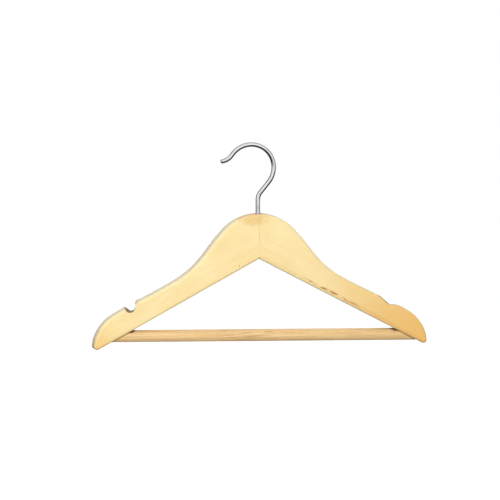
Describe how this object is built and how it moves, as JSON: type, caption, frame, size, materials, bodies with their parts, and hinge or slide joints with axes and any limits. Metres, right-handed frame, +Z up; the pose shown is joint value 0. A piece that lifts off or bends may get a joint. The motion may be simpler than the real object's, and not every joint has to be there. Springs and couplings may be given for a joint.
{
  "type": "clothes hanger",
  "caption": "Small wooden clothes hanger with sloped arms, strap notches, a round trouser bar and a wire hook that swivels in the crown.",
  "frame": {"origin": "the hook's seat: the point on the inside of the hook's bend straight above the swivel axis, where a rail bears", "axes": "+X along the hanger's width, towards the arm with the shallow notch; +Z up along the swivel axis; the front face looks along -Y"},
  "size_m": [0.3408, 0.015, 0.2062],
  "materials": {
    "arm_wood": "clear satin lacquer on pale plain-sawn hardwood",
    "bar_wood": "clear satin lacquer on a turned dowel, slightly browner than the arms",
    "hook_steel": "bright nickel or chrome plating on drawn wire",
    "sleeve_steel": "drawn tube, darkened by lacquer round its rim",
    "brad_steel": "plain bright wire"
  },
  "bodies": {
    "hook": {"hook": "hook_steel"},
    "hanger_body": {"left_arm": "arm_wood", "right_arm": "arm_wood", "trouser_bar": "bar_wood", "swivel_sleeve": "sleeve_steel", "left_bar_brad": "brad_steel", "right_bar_brad": "brad_steel"}
  },
  "joints": [
    {"name": "hook_swivel", "type": "hinge", "parent": "hook", "child": "hanger_body", "pos_m": [0, 0, -0.0754], "axis": [0, 0, 1], "continuous": true}
  ]
}
